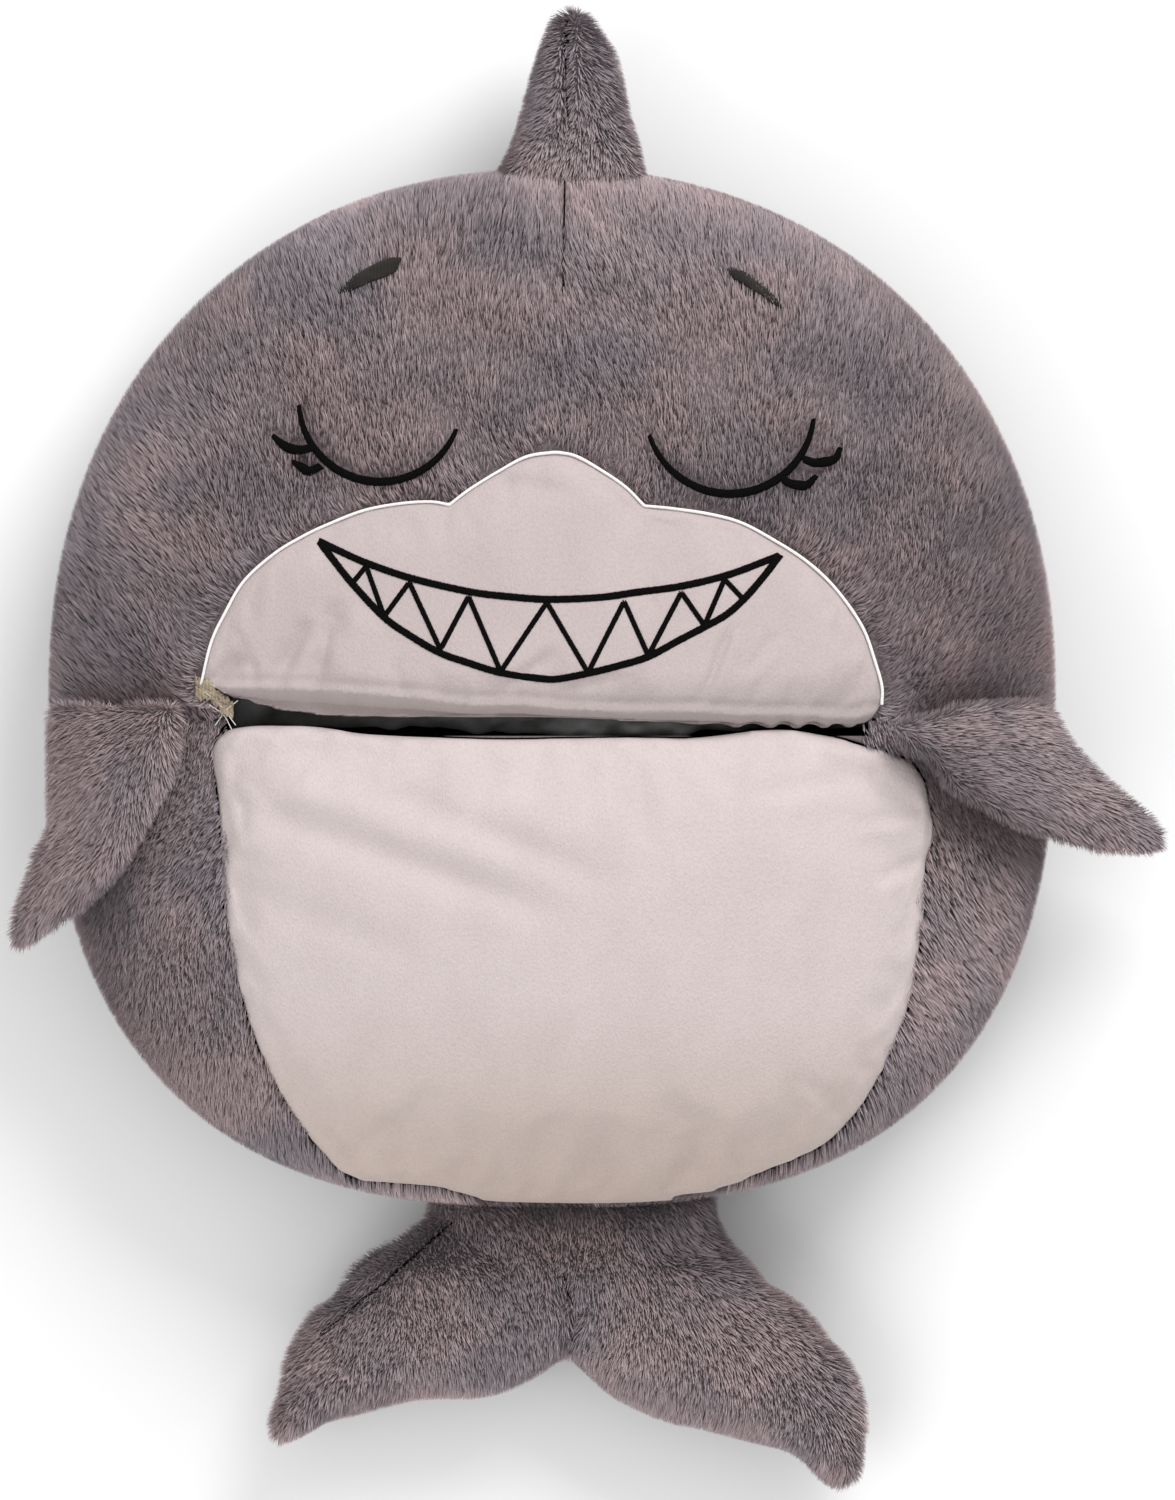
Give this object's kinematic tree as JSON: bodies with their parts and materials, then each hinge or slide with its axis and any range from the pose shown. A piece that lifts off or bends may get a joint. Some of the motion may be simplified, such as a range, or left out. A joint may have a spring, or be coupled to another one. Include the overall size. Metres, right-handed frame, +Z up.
{
  "type": "plush shark pillow",
  "caption": "Round grey plush shark pillow toy lying on its back, with pale muzzle and belly, closed eyes, toothy grin, fin, flippers, tail and a pouch behind the belly.",
  "frame": {"origin": "centre of the round body, on the flat of its back that rests on the floor", "axes": "+Z up out of the face, +Y towards the dorsal fin, -Y towards the tail, +X towards the right-hand flipper as seen from the front"},
  "size_m": [0.5811, 0.7403, 0.159],
  "materials": {
    "grey_plush": "matte",
    "pale_velour": "matte",
    "pale_thread": "satin",
    "black_thread": "satin",
    "dark_felt": "matte",
    "grey_lining": "matte",
    "white_filling": "matte",
    "sack_cloth": "matte"
  },
  "bodies": {
    "body": {"head_front_panel": "grey_plush", "head_back_panel": "grey_plush", "head_filling": "white_filling", "mouth_lip_lining": "grey_lining", "muzzle_panel": "pale_velour", "muzzle_edge_stitch": "pale_thread", "left_eye_embroidery": "black_thread", "right_eye_embroidery": "black_thread", "left_brow_patch": "dark_felt", "right_brow_patch": "dark_felt", "grin_embroidery": "black_thread", "pouch_side_left": "grey_plush", "pouch_side_right": "grey_plush", "pouch_back_panel": "grey_plush", "pouch_lining": "grey_lining", "sack_shell": "sack_cloth", "sack_lining": "grey_lining"},
    "belly_flap": {"belly_panel": "pale_velour", "belly_batting": "white_filling", "belly_lining": "grey_lining"},
    "left_flipper": {"left_flipper_top_panel": "grey_plush", "left_flipper_under_panel": "grey_plush", "left_flipper_filling": "white_filling"},
    "right_flipper": {"right_flipper_top_panel": "grey_plush", "right_flipper_under_panel": "grey_plush", "right_flipper_filling": "white_filling"},
    "dorsal_fin": {"fin_left_panel": "grey_plush", "fin_right_panel": "grey_plush", "fin_filling": "white_filling"},
    "tail": {"tail_front_panel": "grey_plush", "tail_back_panel": "grey_plush", "tail_filling": "white_filling"}
  },
  "joints": [
    {"name": "belly_flap_lift", "type": "hinge", "parent": "body", "child": "belly_flap", "pos_m": [0.01, -0.257, 0.061], "axis": [1, 0, 0], "range_deg": [0, 12]},
    {"name": "left_flipper_lift", "type": "hinge", "parent": "body", "child": "left_flipper", "pos_m": [-0.21825, -0.003, 0.11471], "axis": [-0.8534, 0, -0.5212], "range_deg": [0, 90]},
    {"name": "right_flipper_lift", "type": "hinge", "parent": "body", "child": "right_flipper", "pos_m": [0.21425, -0.0015, 0.11706], "axis": [-0.8696, 0, 0.4938], "range_deg": [0, 90]},
    {"name": "dorsal_fin_fold", "type": "hinge", "parent": "body", "child": "dorsal_fin", "pos_m": [0.0075, 0.2645, 0.0885], "axis": [1, 0, 0], "range_deg": [0, 80]},
    {"name": "tail_fold", "type": "hinge", "parent": "body", "child": "tail", "pos_m": [0.008, -0.2655, 0.0675], "axis": [-1, 0, 0], "range_deg": [0, 80]}
  ]
}
